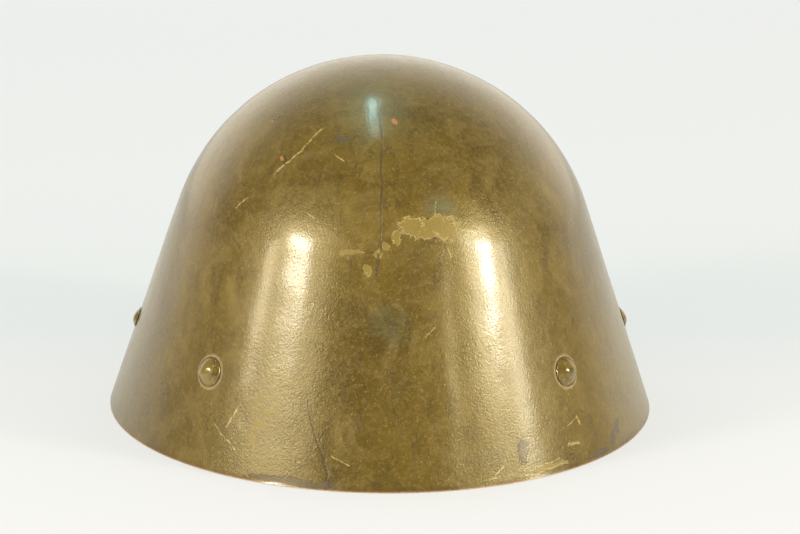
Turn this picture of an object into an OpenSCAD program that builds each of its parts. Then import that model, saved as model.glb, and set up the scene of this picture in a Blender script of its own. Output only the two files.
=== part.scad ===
// Civil defence helmet: a pressed steel shell with a riveted liner and a two-part chin strap.
// The front faces -Y, the rim rests on Z = 0 and the origin is the middle of the rim.

/* [Shell] */
// Width of the rim, side to side, over the sheet
rim_width = 240; // [230:1:255]
// Length of the rim, front to back, over the sheet
rim_length = 280; // [270:1:298]
// Radius of the round crown, side to side
crown_radius = 94; // [90:0.5:97]
// Height of the middle of that radius above the rim
crown_centre = 60.5; // [56:0.5:66]
// How far the top of the crown leans forward
crown_lean = 12.5; // [0:0.5:18]
// Thickness of the pressed sheet
sheet = 1.2; // [1:0.1:1.5]

/* [Shell rivets] */
// Height of the rivets above the rim
rivet_height = 37.5; // [34:0.5:39]
// Turn of the front pair from the centre line
front_turn = 43; // [38:1:50]
// Turn of the side pair from the centre line
side_turn = 89.5; // [86.5:1:92.5]
// Turn of the rear pair from the centre line
rear_turn = 137; // [130:1:142]
// Diameter of the front and rear pairs' round heads
rivet_head = 12; // [9:0.5:13]
// Height of those heads
rivet_dome = 3.5; // [2:0.25:4]
// Diameter of the side pair's smaller heads
side_head = 8.5; // [7:0.5:11]
// Height of the side pair's heads
side_dome = 2; // [1.5:0.25:3]
// Diameter of a rivet's shank
rivet_shank = 4.2; // [3.6:0.2:5]
// Diameter of the washer inside
washer_width = 9; // [8:0.5:10]
// Thickness of the washer inside
washer_sheet = 1; // [0.6:0.1:1.4]

/* [Liner band] */
// Space between the shell and the liner band at the rivets
band_gap = 11; // [10:0.5:13]
// Height of the liner band
band_height = 20; // [18:1:22]
// Thickness of the liner band and of its splice plate
band_sheet = 0.8; // [0.6:0.1:1.2]
// Width of a bracket
bracket_width = 12; // [10:0.5:14]
// Thickness of a bracket
bracket_sheet = 1; // [0.8:0.1:1.4]
// Diameter of the small rivets' heads
small_head = 5; // [4:0.5:6]
// Diameter of the small rivets' shanks
small_shank = 2.6; // [2:0.2:3]
// Length of the splice plate at the back of the band
splice_length = 26; // [22:1:32]

/* [Liner] */
// Thickness of the felt ring
felt = 6; // [4:0.5:7]
// Thickness of the sweatband
sweat_leather = 2; // [1.6:0.1:2.4]
// How far the sweatband rises above the liner band
sweat_rise = 6; // [4:0.5:8]
// Thickness of the tongues
tongue_leather = 1.8; // [1.4:0.1:2.2]
// Space between the top of the shell and the point where the tongues would meet
tongue_space = 26.5; // [20.5:1:36.5]
// Diameter of the lace
lace_width = 2.6; // [2:0.2:3.2]

/* [Strap rings] */
// Width of a strap lug
lug_width = 24; // [22:0.5:26]
// Thickness of a strap lug
lug_sheet = 1; // [0.8:0.1:1.2]
// Inner width of a strap ring
ring_width = 24; // [23:0.5:26]
// Distance between the two bars of a strap ring
ring_length = 16; // [14:0.5:18]
// Thickness of the wire of the rings and the buckle
wire = 2.6; // [2.2:0.1:3]
// Lean of the rings towards the head while the straps lie inside
ring_lean = 30; // [20:1:35]

/* [Straps] */
// Width of the straps
strap_width = 16; // [14:0.5:17]
// Thickness of the straps
strap_leather = 1.8; // [1.5:0.1:2]
// Length of the plain strap, from its ring to its tip
long_strap = 196; // [180:1:198]
// Length of the buckle strap, from its ring to the buckle's bar
short_strap = 104; // [96:1:108]
// Turn of the straps from the line between the rings, as they lie
strap_turn = 7; // [6:0.5:8]
// Number of holes in the plain strap
hole_count = 6; // [4:1:7]
// Distance between those holes
hole_pitch = 12; // [10:0.5:13]
// Diameter of those holes
hole_width = 4; // [3.5:0.25:4.5]

/* [Buckle] */
// Inner width of the buckle
buckle_width = 20; // [19:0.5:21]
// Distance between the buckle's bar and its roller
buckle_length = 24; // [20:0.5:26]
// Diameter of the roller
roller_width = 4.2; // [4:0.1:5]
// Thickness of the prong
prong_wire = 2.2; // [1.8:0.1:2.4]
// Length of the strap keeper
keeper_length = 8; // [6:0.5:10]

/* [Hidden] */
$fn = 72;

// Clearances
shank_clear = 0.05;
seat_clear = 0.05;
soft_clear = 0.15;
wire_clear = 0.1;
eye_clear = 0.2;
floor_clear = 0.3;
through = 1;

// The shell's wall: a straight flare that runs into the round crown
half_width = rim_width / 2;
half_length = rim_length / 2;
flare = atan2(half_width, crown_centre) - asin(crown_radius / norm([half_width, crown_centre]));
stretch = half_length / half_width;
lean = crown_lean / (crown_centre + crown_radius);
wall_across = sheet / cos(flare);
wall_along = sheet * sqrt(1 + pow(stretch * tan(flare), 2));
inner_stretch = (half_length - wall_along) / (half_width - wall_across);
shell_sides = 96;
flare_rows = 3;
dome_rows = 14;
facet = half_length * (1 - cos(180 / shell_sides));

// The rivets' stations, right side first
station_turns = [front_turn, side_turn, rear_turn, -front_turn, -side_turn, -rear_turn];

// The liner band's oval and heights
band_across = half_width - wall_across - rivet_height * tan(flare) - band_gap;
band_along = inner_stretch * (band_across + band_gap) - band_gap;
band_middle = -lean * rivet_height;
band_bottom = rivet_height - band_height / 2;
band_top = band_bottom + band_height;
small_dome = 1.2;
small_tail = 0.5;
felt_gap = small_tail + 0.2;
felt_out = band_sheet + felt_gap;
felt_in = felt_out + felt;
sweat_out = felt_in + soft_clear;
sweat_in = sweat_out + sweat_leather;
sweat_lip = 2.2;
felt_bottom = band_bottom + soft_clear;
felt_top = band_top - 1;
sweat_bottom = band_bottom - soft_clear - sweat_lip;
sweat_top = band_top + sweat_rise;
splice_cut = 0.6;
splice_turn = asin(splice_length / 4 / band_across);

// The brackets between the shell and the band
foot_down = 8;
foot_up = 7;
foot_seat = pow(bracket_width / 2, 2) / (2 * band_across) + facet + seat_clear;
band_rivet_rise = 4.5;
washer_seat = sheet + foot_seat + bracket_sheet + seat_clear;
rivet_tail = 1.6;
rivet_tail_width = rivet_shank + 2.4;

// The small rivets through the liner, between the tongues
liner_rivet_count = 8;
liner_rivet_height = band_bottom + band_height * 0.6;
burr_width = 6.5;
burr_sheet = 0.7;
burr_seat = 0.1;

// The tongues: a dome from the sweatband to an oval opening under the crown
tongue_count = 8;
tongue_bottom = felt_top + soft_clear;
tongue_end = 74;
tongue_base_turn = 21;
tongue_tip_turn = 15;
tongue_round = 0.82;
tongue_tip_share = 0.35;
tongue_rows = 12;
tongue_columns = 4;
tongue_facet = band_along * (1 - cos(tongue_base_turn / tongue_columns));
tongue_across = band_across - sweat_out + soft_clear + tongue_facet + tongue_leather;
tongue_along = band_along - sweat_out + soft_clear + tongue_facet + tongue_leather;
tongue_rise = crown_centre + crown_radius - tongue_space - sweat_top;
lace_at = 67;
lace_hole = lace_width + 3.2;

// The lace: over one tongue, through its hole and under the next; after its parting turn it climbs aside
lace_start = 196;
lace_lap = 12;
lace_steps = 78;
lace_sides = 8;
lace_swing = tongue_leather / 2 + lace_width / 2 + 1.1;
lace_sharp = 0.05;
lace_aside = 2.4;
lace_parting = 346;

// The straps' rings and where the straps lie
strap_eye = wire / 2 + eye_clear;
strap_bow = strap_eye + strap_leather;
bar_height = floor_clear + strap_bow;
barrel_height = bar_height + ring_length * cos(ring_lean);
barrel_out = lug_sheet / 2 + seat_clear;
barrel_wall = 1;
barrel_length = 16;
bar_out = barrel_out - ring_length * sin(ring_lean);
corner = wire;
lug_top = band_top - 2;
lug_rivet_aside = bracket_width / 2 + small_head / 2 + 0.3;
strap_aside = 2.4;
eye_slack = 1.4;
eye_bulge = 0.1;
eye_length = 9;
lap_length = 20;
lap_rivet = 14;
lap_head = 7;
lap_dome = 0.9;
tip_split = long_strap / 2;
tip_gap = 0.45;
tip_round = strap_width / 2;
first_hole = 24;
plain_droop = asin((bar_height - strap_leather - floor_clear) / long_strap);
prong_slot = prong_wire + 2.4;
prong_slot_length = 7;
prong_eye_length = prong_wire + 1.4;
prong_over = 2.5;
prong_lift = 0.3;
prong_rise = asin((roller_width / 2 + prong_wire / 2 + prong_lift) / buckle_length);
roller_length = 14;
keeper_leather = 1.4;
keeper_space = 0.2;
keeper_place = 72;

// Half width of the shell's outer face at a height in its straight part
function outer_half(z) = half_width - z * tan(flare);

// A point of the shell's outer face, and the way out of it there
function wall_point(turn) = [outer_half(rivet_height) * sin(turn),
                             -stretch * outer_half(rivet_height) * cos(turn) - lean * rivet_height,
                             rivet_height];
function wall_way(turn) =
    let (way = [stretch * sin(turn), -cos(turn), stretch * tan(flare) - lean * cos(turn)])
    way / norm(way);
function wall_heading(turn) = atan2(wall_way(turn).y, wall_way(turn).x);
function wall_rise(turn) = asin(wall_way(turn).z);

// Level distance from the shell's outer face to the band's outer face at a station
function band_depth(turn) =
    let (level = [cos(wall_heading(turn)), sin(wall_heading(turn))])
    wall_point(turn).x * level.x + (wall_point(turn).y - band_middle) * level.y
    - norm([band_across * level.x, band_along * level.y]);

// Puts its children on the shell's outer face, with Z pointing out of it
module on_wall(turn) {
    translate(wall_point(turn))
        rotate([0, 90 - wall_rise(turn), wall_heading(turn)])
            children();
}

// Puts its children at the band's outer face under a station, with X pointing out
module on_band(turn, z = 0) {
    level = [cos(wall_heading(turn)), sin(wall_heading(turn))];
    translate([wall_point(turn).x - band_depth(turn) * level.x,
               wall_point(turn).y - band_depth(turn) * level.y, z])
        rotate([0, 0, wall_heading(turn)])
            children();
}

// Puts its children on the band's own oval, with X pointing out
module on_oval(turn, z = 0) {
    translate([band_across * sin(turn), band_middle - band_along * cos(turn), z])
        rotate([0, 0, atan2(-band_across * cos(turn), band_along * sin(turn))])
            children();
}

// A drum on the band's oval, its face drawn in by a distance and its seam turned clear of the rivets
module oval(inset, bottom, top) {
    translate([0, band_middle, bottom])
        scale([1, (band_along - inset) / (band_across - inset), 1])
            rotate([0, 0, 10.5])
                cylinder(r = band_across - inset, h = top - bottom, $fn = 240);
}

module oval_ring(outset, inset, bottom, top) {
    difference() {
        oval(outset, bottom, top);
        oval(inset, bottom - through, top + through);
    }
}

// A small rivet along X: its head outside X = 0 and its tail at a depth
module small_rivet(depth, tail_width = small_head - 0.4, tail_sheet = small_tail) {
    rotate([0, 90, 0]) {
        dome(small_head, small_dome);
        translate([0, 0, -depth]) cylinder(d = small_shank, h = depth, $fn = 24);
        translate([0, 0, -depth - tail_sheet]) cylinder(d = tail_width, h = tail_sheet, $fn = 24);
    }
}

module small_hole(depth) {
    translate([through, 0, 0])
        rotate([0, -90, 0])
            cylinder(d = small_shank + 2 * shank_clear, h = depth + 2 * through, $fn = 24);
}

// A domed head of a diameter and height, standing on Z = 0
module dome(width, height) {
    ball = (pow(width / 2, 2) + pow(height, 2)) / (2 * height);
    intersection() {
        translate([0, 0, height - ball]) sphere(r = ball, $fn = 72);
        cylinder(d = width + 2, h = height + 1, $fn = 36);
    }
}

// The side view of one of the shell's faces, from its rim up to just below its top
function crown_side(half, radius) = concat(
    [for (i = [0 : flare_rows - 1]) let (z = i / flare_rows * (crown_centre + radius * sin(flare)))
        [half - z * tan(flare), z]],
    [for (i = [0 : dome_rows - 1]) let (climb = flare + i / dome_rows * (90 - flare))
        [radius * cos(climb), crown_centre + radius * sin(climb)]]);

// That face's points, turned round the shell, stretched and leaned; its top comes last
function crown_points(half, radius, along) = concat(
    [for (spot = crown_side(half, radius), i = [0 : shell_sides - 1]) let (turn = i * 360 / shell_sides)
        [spot.x * sin(turn), -along * spot.x * cos(turn) - lean * spot.y, spot.y]],
    [[0, -lean * (crown_centre + radius), crown_centre + radius]]);

// The pressed sheet: an outer face, an inner face and the cut edge between them
module crown() {
    rows = flare_rows + dome_rows;
    face = rows * shell_sides + 1;
    spots = concat(crown_points(half_width, crown_radius, stretch),
                   crown_points(half_width - wall_across, crown_radius - sheet, inner_stretch));
    outside = [for (row = [0 : rows - 1], i = [0 : shell_sides - 1])
        let (a = row * shell_sides + i, b = row * shell_sides + (i + 1) % shell_sides)
        each (row == rows - 1 ? [[a, face - 1, b]]
                              : [[a, a + shell_sides, b + shell_sides], [a, b + shell_sides, b]])];
    inside = [for (triangle = outside) [for (k = [2, 1, 0]) triangle[k] + face]];
    edge = [for (i = [0 : shell_sides - 1]) let (b = (i + 1) % shell_sides)
        each [[i, b, b + face], [i, b + face, i + face]]];
    polyhedron(points = spots, faces = concat(outside, inside, edge));
}

module shell() {
    color("#857240")
        difference() {
            crown();
            for (turn = station_turns)
                on_wall(turn)
                    translate([0, 0, -2 * sheet - through])
                        cylinder(d = rivet_shank + 2 * shank_clear, h = 3 * sheet + 2 * through, $fn = 36);
        }
}

module shell_rivets() {
    depth = washer_seat + washer_sheet + seat_clear;
    color("#7d6b3c")
        for (turn = station_turns)
            on_wall(turn) {
                translate([0, 0, seat_clear])
                    if (abs(turn) == side_turn) dome(side_head, side_dome);
                    else dome(rivet_head, rivet_dome);
                translate([0, 0, -depth]) cylinder(d = rivet_shank, h = depth + 2 * seat_clear, $fn = 36);
                translate([0, 0, -depth - rivet_tail])
                    cylinder(d = rivet_tail_width, h = rivet_tail, $fn = 36);
            }
}

module rivet_washers() {
    color("#9a9a92")
        for (turn = station_turns)
            on_wall(turn)
                translate([0, 0, -washer_seat - washer_sheet])
                    difference() {
                        cylinder(d = washer_width, h = washer_sheet, $fn = 48);
                        translate([0, 0, -through])
                            cylinder(d = rivet_shank + 2 * shank_clear, h = washer_sheet + 2 * through,
                                     $fn = 36);
                    }
}

// One U of spring strip: a foot on the shell, a web and a plate on the band or on a lug
module band_bracket(turn) {
    rise = wall_rise(turn);
    pad = abs(turn) == side_turn ? lug_sheet + seat_clear : 0;
    foot_face = -sheet - foot_seat - bracket_sheet;
    web_drop = foot_face * sin(rise) - foot_down * cos(rise);
    web_out = band_depth(turn) + foot_face * cos(rise) + foot_down * sin(rise);
    on_wall(turn)
        difference() {
            translate([-foot_up, -bracket_width / 2, foot_face])
                cube([foot_up + foot_down, bracket_width, bracket_sheet]);
            translate([0, 0, foot_face - through])
                cylinder(d = rivet_shank + 2 * shank_clear, h = bracket_sheet + 2 * through, $fn = 36);
        }
    on_band(turn, rivet_height)
        difference() {
            translate([0, -bracket_width / 2, 0]) {
                translate([pad + seat_clear, 0, web_drop])
                    cube([web_out - pad - seat_clear + bracket_sheet / 2, bracket_width, bracket_sheet]);
                translate([pad + seat_clear, 0, web_drop])
                    cube([bracket_sheet, bracket_width, band_rivet_rise + small_head / 2 + 1 - web_drop]);
            }
            translate([pad + bracket_sheet, 0, band_rivet_rise]) small_hole(bracket_sheet);
        }
}

module band_brackets() {
    color("#8f9088")
        for (turn = station_turns) band_bracket(turn);
}

module bracket_rivets() {
    color("#a3a49c")
        for (turn = station_turns) {
            pad = abs(turn) == side_turn ? lug_sheet + seat_clear : 0;
            out = pad + bracket_sheet + 2 * seat_clear;
            on_band(turn, rivet_height + band_rivet_rise)
                translate([out, 0, 0])
                    small_rivet(out + band_sheet + seat_clear);
        }
}

// Holes through what lies on the band, for the rivets of the liner, brackets, lugs and splice
module band_holes(depth) {
    liner_holes(depth);
    for (turn = station_turns)
        on_band(turn, rivet_height + band_rivet_rise) small_hole(depth);
    for (turn = [side_turn, -side_turn], aside = [-lug_rivet_aside, lug_rivet_aside])
        on_band(turn, rivet_height) translate([0, aside, 0]) small_hole(depth);
    for (side = [-1, 1]) on_oval(180 + side * splice_turn, rivet_height) small_hole(depth);
}

module liner_holes(depth) {
    for (i = [0 : liner_rivet_count - 1])
        on_oval((i + 0.5) * 360 / liner_rivet_count, liner_rivet_height) small_hole(depth);
}

module liner_band() {
    color("#8b8d86")
        difference() {
            oval_ring(0, band_sheet, band_bottom, band_top);
            band_holes(2 * band_sheet);
            on_oval(180, band_bottom - through)
                translate([-2 * band_sheet, -splice_cut / 2, 0])
                    cube([4 * band_sheet, splice_cut, band_height + 2 * through]);
        }
}

module splice_plate() {
    color("#93958d")
        difference() {
            intersection() {
                oval_ring(-seat_clear - band_sheet, -seat_clear, band_bottom + 1, band_top - 1);
                on_oval(180, band_bottom)
                    translate([-4, -splice_length / 2, 0]) cube([8, splice_length, band_height]);
            }
            for (side = [-1, 1])
                on_oval(180 + side * splice_turn, rivet_height)
                    translate([band_sheet, 0, 0]) small_hole(2 * band_sheet);
        }
}

module splice_rivets() {
    out = seat_clear + band_sheet + seat_clear;
    color("#a3a49c")
        for (side = [-1, 1])
            on_oval(180 + side * splice_turn, rivet_height)
                translate([out, 0, 0])
                    small_rivet(out + band_sheet + 3 * seat_clear);
}

module felt_ring() {
    color("#6f6a5c")
        difference() {
            oval_ring(felt_out, felt_in, felt_bottom, felt_top);
            liner_holes(felt_in + through);
        }
}

module sweatband() {
    color("#7a5230")
        difference() {
            union() {
                oval_ring(sweat_out, sweat_in, sweat_bottom, sweat_top);
                oval_ring(soft_clear, sweat_out + 0.5, sweat_bottom, sweat_bottom + sweat_lip);
            }
            liner_holes(sweat_in + through);
        }
}

module liner_rivets() {
    color("#b09a5e")
        for (i = [0 : liner_rivet_count - 1])
            on_oval((i + 0.5) * 360 / liner_rivet_count, liner_rivet_height)
                translate([seat_clear, 0, 0])
                    small_rivet(sweat_in + seat_clear + burr_seat, burr_width, burr_sheet);
}

// A point of the tongues' dome: its face drawn in by a distance, a turn and a climb. The dome leaves the
// sweatband along the wall's flare and leans forward with the shell
function tongue_point(inset, turn, climb) =
    let (part = cos(climb) / cos(flare),
         rise = (tongue_rise - inset) * (sin(climb) - sin(flare)) / (1 - sin(flare)))
    [(tongue_across - inset) * part * sin(turn),
     band_middle - lean * rise - (tongue_along - inset) * part * cos(turn),
     sweat_top + rise];

// Climb and half turn of a tongue's rows; the first row is its sewn lower edge
function tongue_climb(row) = flare + max(0, row - 1) / (tongue_rows - 1) * (tongue_end - flare);
function tongue_half_turn(row) =
    let (part = row / tongue_rows, side = tongue_base_turn + (tongue_tip_turn - tongue_base_turn) * part)
    part < tongue_round ? side
        : side * (tongue_tip_share + (1 - tongue_tip_share)
                  * sqrt(max(0, 1 - pow((part - tongue_round) / (1 - tongue_round), 2))));

module tongue(turn) {
    rows = tongue_rows + 1;
    columns = tongue_columns + 1;
    face = rows * columns;
    spots = [for (inset = [0, tongue_leather], row = [0 : tongue_rows], column = [0 : tongue_columns])
        let (spot = tongue_point(inset, turn + (2 * column / tongue_columns - 1) * tongue_half_turn(row),
                                 tongue_climb(row)))
        [spot.x, spot.y, row == 0 ? tongue_bottom : spot.z]];
    outside = [for (row = [0 : tongue_rows - 1], column = [0 : tongue_columns - 1])
        let (a = row * columns + column)
        each [[a, a + columns, a + columns + 1], [a, a + columns + 1, a + 1]]];
    inside = [for (triangle = outside) [for (k = [2, 1, 0]) triangle[k] + face]];
    rim = concat([for (column = [0 : tongue_columns - 1]) column],
                 [for (row = [0 : tongue_rows - 1]) row * columns + tongue_columns],
                 [for (column = [tongue_columns : -1 : 1]) tongue_rows * columns + column],
                 [for (row = [tongue_rows : -1 : 1]) row * columns]);
    edge = [for (i = [0 : len(rim) - 1])
        let (a = rim[i], b = rim[(i + 1) % len(rim)])
        each [[a, b, b + face], [a, b + face, a + face]]];
    hole = tongue_point(tongue_leather / 2, turn, lace_at);
    color("#84592f")
        difference() {
            polyhedron(points = spots, faces = concat(outside, inside, edge));
            translate([hole.x, hole.y, hole.z - lace_hole])
                cylinder(d = lace_hole, h = 2 * lace_hole, $fn = 24);
        }
}

module tongue_1() { tongue(0); }
module tongue_2() { tongue(45); }
module tongue_3() { tongue(90); }
module tongue_4() { tongue(135); }
module tongue_5() { tongue(180); }
module tongue_6() { tongue(225); }
module tongue_7() { tongue(270); }
module tongue_8() { tongue(315); }

// The lace's middle line at a share of its way round
function lace_turn(share) = lace_start + share * (360 + lace_lap);
function lace_wave(turn) = let (wave = sin(turn * tongue_count / 2)) wave / sqrt(pow(wave, 2) + lace_sharp);
function lace_spot(share) =
    let (turn = lace_turn(share),
         aside = lace_aside * min(1, max(0, (turn - lace_start - lace_parting) / lace_lap)))
    tongue_point(tongue_leather / 2, turn, lace_at + aside) + [0, 0, lace_swing * lace_wave(turn)];

module lace() {
    spots = [for (i = [0 : lace_steps]) lace_spot(i / lace_steps)];
    ways = [for (i = [0 : lace_steps])
        let (way = spots[min(i + 1, lace_steps)] - spots[max(i - 1, 0)]) way / norm(way)];
    skin = [for (i = [0 : lace_steps], side = [0 : lace_sides - 1])
        let (level = cross(ways[i], [0, 0, 1]), out = level / norm(level), up = cross(out, ways[i]),
             turn = side * 360 / lace_sides)
        spots[i] + lace_width / 2 * (cos(turn) * out + sin(turn) * up)];
    sides = [for (i = [0 : lace_steps - 1], side = [0 : lace_sides - 1])
        let (a = i * lace_sides + side, b = i * lace_sides + (side + 1) % lace_sides)
        each [[a, b, b + lace_sides], [a, b + lace_sides, a + lace_sides]]];
    first = [for (side = [lace_sides - 1 : -1 : 0]) side];
    last = [for (side = [0 : lace_sides - 1]) lace_steps * lace_sides + side];
    color("#b9ab8c")
        polyhedron(points = skin, faces = concat(sides, [first, last]));
}

// A lug: a plate on the band, under the side bracket, rolled round the ring's upper bar
module lug(turn) {
    color("#8f9088")
        difference() {
            on_band(turn) {
                translate([seat_clear, -lug_width / 2, band_bottom])
                    cube([lug_sheet, lug_width, lug_top - band_bottom]);
                translate([seat_clear, -barrel_length / 2, barrel_height])
                    cube([lug_sheet, barrel_length, band_bottom - barrel_height + through]);
                translate([barrel_out, 0, barrel_height])
                    rotate([90, 0, 0])
                        cylinder(r = wire / 2 + wire_clear + barrel_wall, h = barrel_length, center = true);
            }
            on_band(turn)
                translate([barrel_out, 0, barrel_height])
                    rotate([90, 0, 0])
                        cylinder(r = wire / 2 + wire_clear, h = barrel_length + 2 * through, center = true);
            on_band(turn, rivet_height + band_rivet_rise)
                translate([lug_sheet, 0, 0]) small_hole(2 * lug_sheet);
            for (aside = [-lug_rivet_aside, lug_rivet_aside])
                on_band(turn, rivet_height)
                    translate([lug_sheet, aside, 0]) small_hole(2 * lug_sheet);
        }
}

module left_lug() { lug(-side_turn); }
module right_lug() { lug(side_turn); }

module lug_rivets() {
    out = lug_sheet + 2 * seat_clear;
    color("#a3a49c")
        for (turn = [side_turn, -side_turn], aside = [-lug_rivet_aside, lug_rivet_aside])
            on_band(turn, rivet_height)
                translate([out, aside, 0])
                    small_rivet(out + band_sheet + 9 * seat_clear, small_head - 1.4, small_tail - 0.1);
}

// A closed loop of wire in the X-Y plane, its first bar on the Y axis and its second at X = length
module wire_loop(width, length) {
    half = (width + wire) / 2;
    for (x = [0, length])
        translate([x, 0, 0]) rotate([90, 0, 0])
            cylinder(d = wire, h = 2 * (half - corner), center = true, $fn = 36);
    for (side = [-1, 1]) {
        translate([length / 2, side * half, 0]) rotate([0, 90, 0])
            cylinder(d = wire, h = length - 2 * corner, center = true, $fn = 36);
        for (end = [-1, 1])
            translate([length / 2 + end * (length / 2 - corner), side * (half - corner), 0])
                rotate([0, 0, end > 0 ? (side > 0 ? 0 : -90) : (side > 0 ? 90 : 180)])
                    rotate_extrude(angle = 90, $fn = 48)
                        translate([corner, 0]) circle(d = wire, $fn = 36);
    }
}

module strap_ring(turn) {
    color("#9b9c94")
        on_band(turn, barrel_height)
            translate([barrel_out, 0, 0])
                rotate([0, 90 + ring_lean, 0])
                    wire_loop(ring_width, ring_length);
}

module left_ring() { strap_ring(-side_turn); }
module right_ring() { strap_ring(side_turn); }

// Puts its children on a ring's lower bar, with X along the strap and Z = 0 between its layers
module on_bar(turn, droop = 0) {
    heading = turn < 0 ? strap_turn : 180 + strap_turn;
    on_band(turn, bar_height)
        translate([bar_out, 0, 0])
            rotate([0, 0, heading - wall_heading(turn)])
                translate([0, strap_aside, 0])
                    rotate([0, droop, 0])
                        children();
}

// A strap's end: a bow round a bar on the Y axis, and its second layer sewn to the first
module bow() {
    rotate([90, 0, 0])
        difference() {
            union() {
                translate([-eye_slack, 0, 0])
                    cylinder(r = strap_bow + eye_bulge, h = strap_width, center = true, $fn = 48);
                linear_extrude(strap_width, center = true)
                    polygon([[-eye_slack, strap_bow], [eye_length, strap_leather],
                             [lap_length, strap_leather], [lap_length, -strap_leather],
                             [eye_length, -strap_leather], [-eye_slack, -strap_bow]]);
            }
            translate([-eye_slack, 0, 0])
                cylinder(r = strap_eye + eye_bulge, h = strap_width + 2 * through, center = true, $fn = 48);
            linear_extrude(strap_width + 2 * through, center = true)
                polygon([[-eye_slack, strap_eye], [1, strap_eye], [eye_length, 0], [1, -strap_eye],
                         [-eye_slack, -strap_eye]]);
        }
}

// A strap's single layer between two distances from its ring
module strap_run(start, end) {
    translate([start, -strap_width / 2, -strap_leather])
        cube([end - start, strap_width, strap_leather]);
}

module strap_bolt() {
    for (up = [1, -1])
        scale([1, 1, up])
            translate([0, 0, strap_leather + seat_clear]) dome(lap_head, lap_dome);
    cylinder(d = small_shank, h = 2 * (strap_leather + 2 * seat_clear), center = true, $fn = 24);
}

module strap_bolt_hole() {
    cylinder(d = small_shank + 2 * shank_clear, h = 4 * strap_leather, center = true, $fn = 24);
}

module plain_strap() {
    color("#5f4128")
        on_bar(-side_turn, plain_droop)
            difference() {
                union() {
                    bow();
                    strap_run(lap_length - through, tip_split - tip_gap);
                }
                translate([lap_rivet, 0, 0]) strap_bolt_hole();
            }
}

module plain_strap_tip() {
    color("#5f4128")
        on_bar(-side_turn, plain_droop)
            difference() {
                union() {
                    strap_run(tip_split + tip_gap, long_strap - tip_round);
                    translate([long_strap - tip_round, 0, -strap_leather])
                        cylinder(r = tip_round, h = strap_leather, $fn = 72);
                }
                for (i = [0 : hole_count - 1])
                    translate([long_strap - first_hole - i * hole_pitch, 0, -2 * strap_leather])
                        cylinder(d = hole_width, h = 3 * strap_leather, $fn = 24);
            }
}

module plain_strap_rivet() {
    color("#b09a5e")
        on_bar(-side_turn, plain_droop)
            translate([lap_rivet, 0, 0]) strap_bolt();
}

module buckle_strap() {
    color("#5f4128")
        on_bar(side_turn)
            difference() {
                union() {
                    bow();
                    strap_run(lap_length - through, short_strap - lap_length + through);
                    translate([short_strap, 0, 0]) mirror([1, 0, 0]) bow();
                }
                for (x = [lap_rivet, short_strap - lap_rivet])
                    translate([x, 0, 0]) strap_bolt_hole();
                translate([short_strap - prong_slot_length, -prong_slot / 2, -2 * strap_bow])
                    cube([prong_slot_length + 2 * strap_bow, prong_slot, 4 * strap_bow]);
            }
}

module buckle_strap_rivets() {
    color("#b09a5e")
        on_bar(side_turn)
            for (x = [lap_rivet, short_strap - lap_rivet])
                translate([x, 0, 0]) strap_bolt();
}

module strap_keeper() {
    high = 2 * (strap_leather + keeper_space);
    wide = strap_width + 3 * keeper_space;
    color("#6a4a2e")
        on_bar(side_turn)
            translate([keeper_place, 0, 0])
                difference() {
                    cube([keeper_length, wide + 2 * keeper_leather, high + 2 * keeper_leather],
                         center = true);
                    cube([keeper_length + 2 * through, wide, high], center = true);
                }
}

module buckle_frame() {
    color("#a9a9a0")
        on_bar(side_turn)
            translate([short_strap, 0, 0]) wire_loop(buckle_width, buckle_length);
}

module buckle_prong() {
    eye = wire / 2 + wire_clear + prong_wire / 2;
    color("#a9a9a0")
        on_bar(side_turn)
            translate([short_strap, 0, 0])
                difference() {
                    union() {
                        rotate([90, 0, 0]) cylinder(r = eye, h = prong_eye_length, center = true, $fn = 48);
                        rotate([0, 90 - prong_rise, 0])
                            cylinder(d = prong_wire, h = buckle_length + prong_over, $fn = 36);
                    }
                    rotate([90, 0, 0])
                        cylinder(r = wire / 2 + wire_clear, h = prong_eye_length + 2 * through,
                                 center = true, $fn = 48);
                }
}

module buckle_roller() {
    color("#b3b3aa")
        on_bar(side_turn)
            translate([short_strap + buckle_length, 0, 0])
                rotate([90, 0, 0])
                    difference() {
                        cylinder(d = roller_width, h = roller_length, center = true, $fn = 48);
                        cylinder(r = wire / 2 + wire_clear, h = roller_length + 2 * through,
                                 center = true, $fn = 48);
                    }
}

shell();
shell_rivets();
rivet_washers();
band_brackets();
bracket_rivets();
liner_band();
splice_plate();
splice_rivets();
felt_ring();
sweatband();
liner_rivets();
tongue_1();
tongue_2();
tongue_3();
tongue_4();
tongue_5();
tongue_6();
tongue_7();
tongue_8();
lace();
left_lug();
right_lug();
lug_rivets();
left_ring();
right_ring();
plain_strap();
plain_strap_tip();
plain_strap_rivet();
buckle_strap();
buckle_strap_rivets();
strap_keeper();
buckle_frame();
buckle_prong();
buckle_roller();
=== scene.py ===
import functools
import math
import bpy
import numpy as np
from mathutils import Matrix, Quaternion, Vector


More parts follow.
